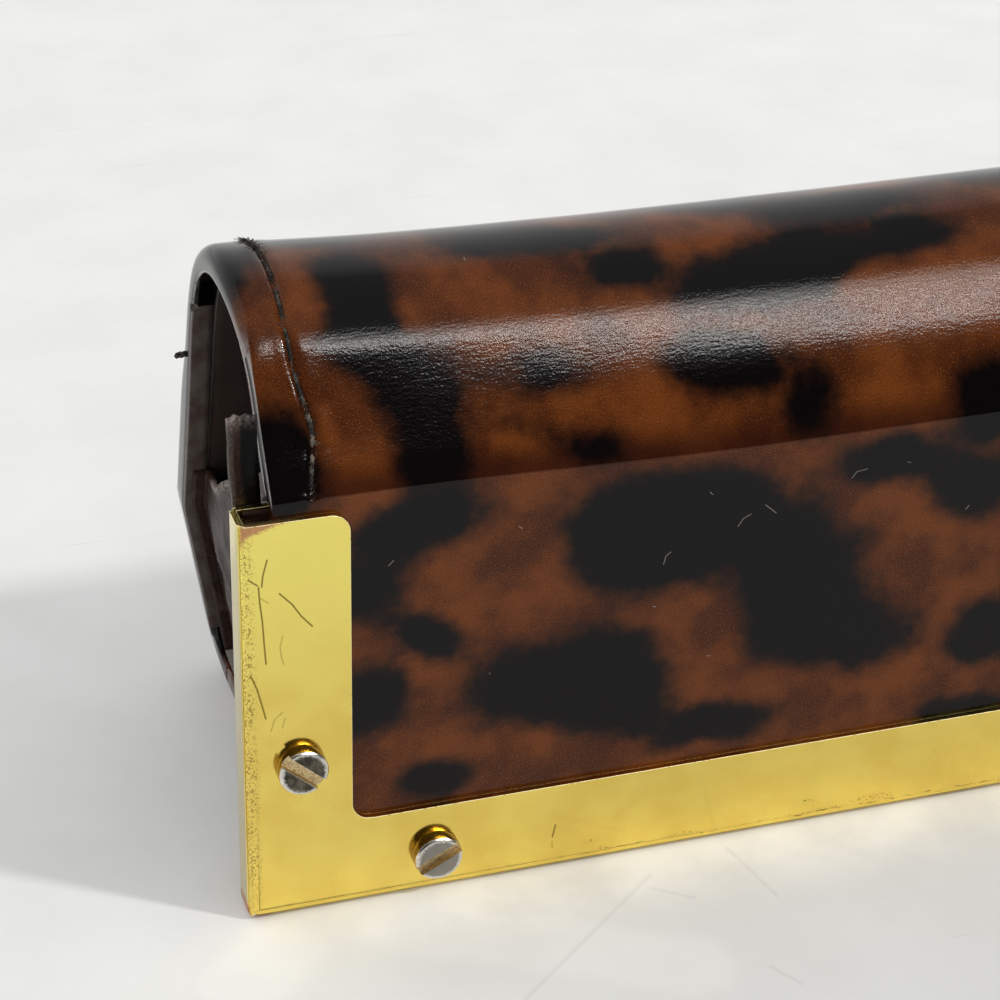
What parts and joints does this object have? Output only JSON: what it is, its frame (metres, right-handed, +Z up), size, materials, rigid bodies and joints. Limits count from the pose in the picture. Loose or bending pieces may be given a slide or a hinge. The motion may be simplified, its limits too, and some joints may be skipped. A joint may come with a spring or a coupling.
{
  "type": "hard sunglasses case",
  "caption": "Leather-covered hard sunglasses case of wedge section, with a hinged front flap edged by a screwed metal channel frame.",
  "frame": {"origin": "on the table under the middle of the case, at the centre of the bounding box in plan", "axes": "+X along the case to its right end seen from the front, -Y out of the front flap, +Z up"},
  "size_m": [0.165, 0.0492, 0.0625],
  "materials": {
    "patent_leather": "glossy patent, dark brown blotches on amber brown",
    "gusset_leather": "glossy patent, near black",
    "suede_lining": "soft suede-like microfibre",
    "greyboard": "pressed fibreboard",
    "moulded_shell": "moulded, matt",
    "gold_plate": "polished, scratched, worn at the edges",
    "plated_steel": "bright plated, slightly worn",
    "bare_steel": "plain",
    "thread": "waxed sewing thread"
  },
  "bodies": {
    "case_body": {"body_leather": "patent_leather", "spine_shell": "moulded_shell", "back_board": "greyboard", "base_board": "greyboard", "base_leather": "patent_leather", "body_lining": "suede_lining", "base_lining": "suede_lining", "lip_board": "greyboard", "lip_cover": "gusset_leather", "strike_strip": "bare_steel", "left_end_hem": "patent_leather", "right_end_hem": "patent_leather", "left_gusset": "gusset_leather", "right_gusset": "gusset_leather", "left_seam_thread": "thread", "right_seam_thread": "thread", "crease_leather": "patent_leather"},
    "flap": {"flap_leather": "patent_leather", "flap_board": "greyboard", "flap_lining": "suede_lining", "flap_frame": "gold_plate", "frame_screws": "plated_steel", "frame_nuts": "gold_plate", "flap_magnets": "bare_steel", "left_gusset_wing": "gusset_leather", "right_gusset_wing": "gusset_leather"}
  },
  "joints": [
    {"name": "flap_hinge", "type": "hinge", "parent": "case_body", "child": "flap", "pos_m": [0, -0.0222, 0.04675], "axis": [-1, 0, 0], "range_deg": [0, 55], "stiffness_Nm_per_rad": 0.01, "springref_deg": -11.46, "deforming": ["crease_leather"]}
  ]
}
